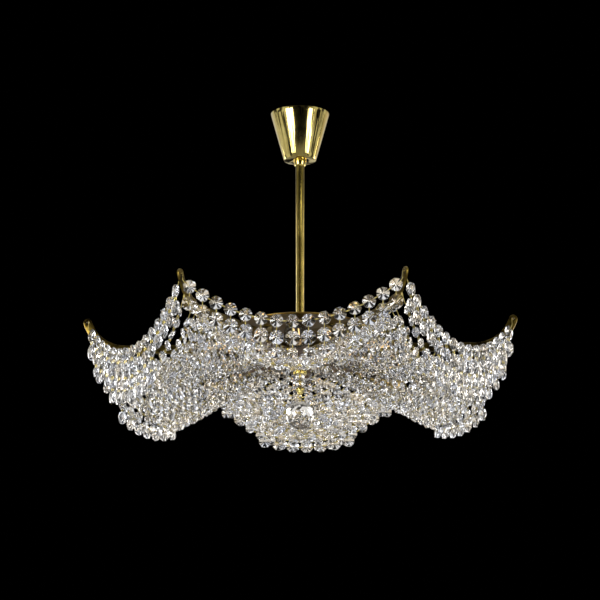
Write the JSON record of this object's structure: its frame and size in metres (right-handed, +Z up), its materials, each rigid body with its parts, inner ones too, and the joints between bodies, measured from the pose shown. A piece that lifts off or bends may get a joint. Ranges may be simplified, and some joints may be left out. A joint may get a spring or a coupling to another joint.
{
  "type": "crystal basket chandelier",
  "caption": "Ceiling light: brass rod under a cone canopy, radial arms with upturned tips, swagged garlands and curtains of crystal octagons around candle lamps, and a hanging crystal ball.",
  "frame": {"origin": "on the ceiling plane, at the middle of the ceiling bar's upper face, over the rod", "axes": "+Z up along the rod, +X along arm 1 and the ceiling bar; the pictured front is towards -Y"},
  "size_m": [0.6, 0.5212, 0.4563],
  "materials": {
    "zinc_steel": "zinc plated",
    "polished_brass": "polished and lacquered",
    "aged_brass": "satin, browned",
    "dark_steel": "blackened",
    "white_plastic": "moulded",
    "clear_pvc": "clear insulation",
    "crystal": "cut and polished",
    "lampholder_plastic": "moulded",
    "nickel_cap": "rolled thread",
    "lamp_glass": "clear, lit"
  },
  "bodies": {
    "ceiling_mount": {"ceiling_bracket": "zinc_steel", "ceiling_hook": "zinc_steel", "hook_nut": "zinc_steel"},
    "ring": {"hanging_ring": "polished_brass"},
    "fixture": {"rod_eye": "polished_brass", "terminal_block": "white_plastic", "stem_tube": "polished_brass", "stem_cable": "white_plastic", "lamp_plate": "polished_brass", "plate_nuts": "polished_brass", "holder_brackets": "aged_brass", "lamp_leads": "clear_pvc", "hub": "polished_brass", "column": "polished_brass", "lower_plate": "polished_brass", "lower_hub": "polished_brass", "glass_beads": "crystal", "finial_rod": "polished_brass", "ball_cap": "polished_brass", "arm_1": "aged_brass", "arm_2": "aged_brass", "arm_3": "aged_brass", "arm_4": "aged_brass", "arm_5": "aged_brass", "arm_6": "aged_brass", "garlands_1": "crystal", "garlands_2": "crystal", "garlands_3": "crystal", "garlands_4": "crystal", "garlands_5": "crystal", "garlands_6": "crystal", "lampholder_1": "lampholder_plastic", "lampholder_2": "lampholder_plastic", "lampholder_3": "lampholder_plastic", "lampholder_4": "lampholder_plastic", "lampholder_5": "lampholder_plastic", "lampholder_6": "lampholder_plastic"},
    "canopy": {"canopy": "polished_brass", "canopy_collar": "polished_brass", "collar_screw": "dark_steel"},
    "ball": {"crystal_ball": "crystal"},
    "curtain_1": {"curtain_1": "crystal"},
    "lamp_1": {"lamp_cap_1": "nickel_cap", "lamp_glass_1": "lamp_glass"},
    "curtain_2": {"curtain_2": "crystal"},
    "lamp_2": {"lamp_cap_2": "nickel_cap", "lamp_glass_2": "lamp_glass"},
    "curtain_3": {"curtain_3": "crystal"},
    "lamp_3": {"lamp_cap_3": "nickel_cap", "lamp_glass_3": "lamp_glass"},
    "curtain_4": {"curtain_4": "crystal"},
    "lamp_4": {"lamp_cap_4": "nickel_cap", "lamp_glass_4": "lamp_glass"},
    "curtain_5": {"curtain_5": "crystal"},
    "lamp_5": {"lamp_cap_5": "nickel_cap", "lamp_glass_5": "lamp_glass"},
    "curtain_6": {"curtain_6": "crystal"},
    "lamp_6": {"lamp_cap_6": "nickel_cap", "lamp_glass_6": "lamp_glass"}
  },
  "joints": [
    {"name": "ring_swing", "type": "hinge", "parent": "ceiling_mount", "child": "ring", "pos_m": [0, 0, -0.03], "axis": [1, 0, 0], "range_deg": [-4, 4]},
    {"name": "fixture_swing", "type": "hinge", "parent": "ring", "child": "fixture", "pos_m": [0, 0, -0.04345], "axis": [0, 1, 0], "range_deg": [-4, 4]},
    {"name": "canopy_slide", "type": "slide", "parent": "fixture", "child": "canopy", "axis": [0, 0, -1], "range_m": [0, 0.22]},
    {"name": "ball_swing", "type": "hinge", "parent": "fixture", "child": "ball", "pos_m": [0, 0, -0.4131], "axis": [1, 0, 0], "range_deg": [-20, 20]},
    {"name": "curtain_1_swing", "type": "hinge", "parent": "fixture", "child": "curtain_1", "pos_m": [0.2205, 0.12731, -0.3033], "axis": [0.5, -0.866, 0], "range_deg": [0, 10]},
    {"name": "lamp_1_turn", "type": "hinge", "parent": "fixture", "child": "lamp_1", "pos_m": [0.0866, 0.05, -0.354], "axis": [0.866, 0.5, 0], "continuous": true},
    {"name": "curtain_2_swing", "type": "hinge", "parent": "fixture", "child": "curtain_2", "pos_m": [0, 0.25461, -0.3033], "axis": [1, 0, 0], "range_deg": [0, 10]},
    {"name": "lamp_2_turn", "type": "hinge", "parent": "fixture", "child": "lamp_2", "pos_m": [0, 0.1, -0.354], "axis": [0, 1, 0], "continuous": true},
    {"name": "curtain_3_swing", "type": "hinge", "parent": "fixture", "child": "curtain_3", "pos_m": [-0.2205, 0.12731, -0.3033], "axis": [0.5, 0.866, 0], "range_deg": [0, 10]},
    {"name": "lamp_3_turn", "type": "hinge", "parent": "fixture", "child": "lamp_3", "pos_m": [-0.0866, 0.05, -0.354], "axis": [-0.866, 0.5, 0], "continuous": true},
    {"name": "curtain_4_swing", "type": "hinge", "parent": "fixture", "child": "curtain_4", "pos_m": [-0.2205, -0.12731, -0.3033], "axis": [-0.5, 0.866, 0], "range_deg": [0, 10]},
    {"name": "lamp_4_turn", "type": "hinge", "parent": "fixture", "child": "lamp_4", "pos_m": [-0.0866, -0.05, -0.354], "axis": [-0.866, -0.5, 0], "continuous": true},
    {"name": "curtain_5_swing", "type": "hinge", "parent": "fixture", "child": "curtain_5", "pos_m": [0, -0.25461, -0.3033], "axis": [-1, 0, 0], "range_deg": [0, 10]},
    {"name": "lamp_5_turn", "type": "hinge", "parent": "fixture", "child": "lamp_5", "pos_m": [0, -0.1, -0.354], "axis": [0, -1, 0], "continuous": true},
    {"name": "curtain_6_swing", "type": "hinge", "parent": "fixture", "child": "curtain_6", "pos_m": [0.2205, -0.12731, -0.3033], "axis": [-0.5, -0.866, 0], "range_deg": [0, 10]},
    {"name": "lamp_6_turn", "type": "hinge", "parent": "fixture", "child": "lamp_6", "pos_m": [0.0866, -0.05, -0.354], "axis": [0.866, -0.5, 0], "continuous": true}
  ]
}
